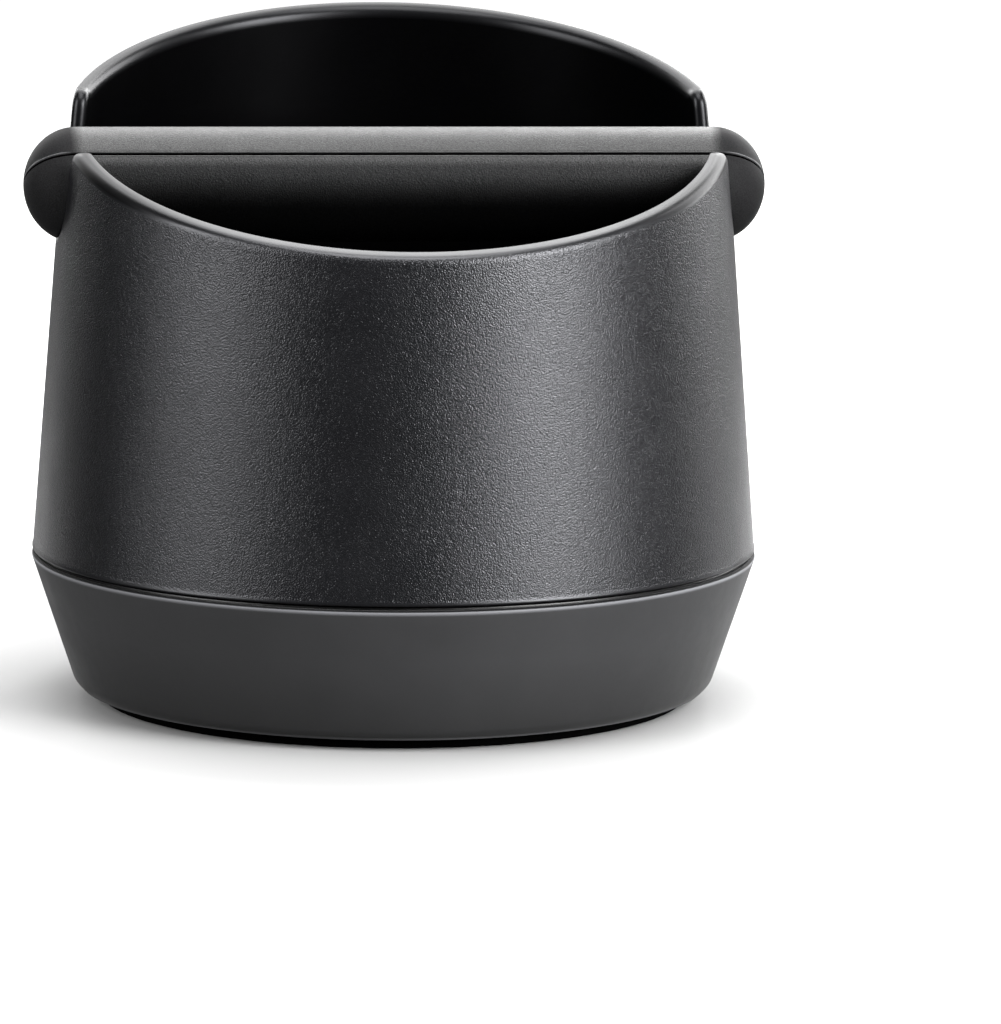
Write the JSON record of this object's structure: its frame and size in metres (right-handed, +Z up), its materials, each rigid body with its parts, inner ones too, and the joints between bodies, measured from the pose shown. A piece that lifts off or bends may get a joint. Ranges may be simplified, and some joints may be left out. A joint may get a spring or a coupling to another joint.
{
  "type": "espresso knock box",
  "caption": "Tapered round bucket with a scooped rim, a soft base band and a rubber-covered knock bar that lifts out of two U notches, for emptying espresso pucks.",
  "frame": {"origin": "on the floor, under the centre of the base", "axes": "+X along the knock bar, -Y towards the low front of the rim, +Z up"},
  "size_m": [0.1448, 0.142, 0.1312],
  "materials": {
    "shell_plastic": "fine leather grain outside, smooth inside",
    "cup_plastic": "smooth satin",
    "seal_silicone": "smooth",
    "boot_elastomer": "soft-touch matt",
    "foot_rubber": "matt",
    "bar_rubber": "matt, fine grain on the span, smoother at the ends",
    "core_steel": "drawn tube",
    "plug_nylon": "as moulded"
  },
  "bodies": {
    "box": {"body_shell": "shell_plastic", "base_cup": "cup_plastic", "joint_seal": "seal_silicone", "base_boot": "boot_elastomer", "foot_ring": "foot_rubber"},
    "knock_bar": {"bar_sleeve": "bar_rubber", "bar_core": "core_steel", "bar_end_plug_left": "plug_nylon", "bar_end_plug_right": "plug_nylon"}
  },
  "joints": [
    {"name": "bar_lift", "type": "slide", "parent": "box", "child": "knock_bar", "axis": [0, 0, 1], "range_m": [0, 0.06]}
  ]
}
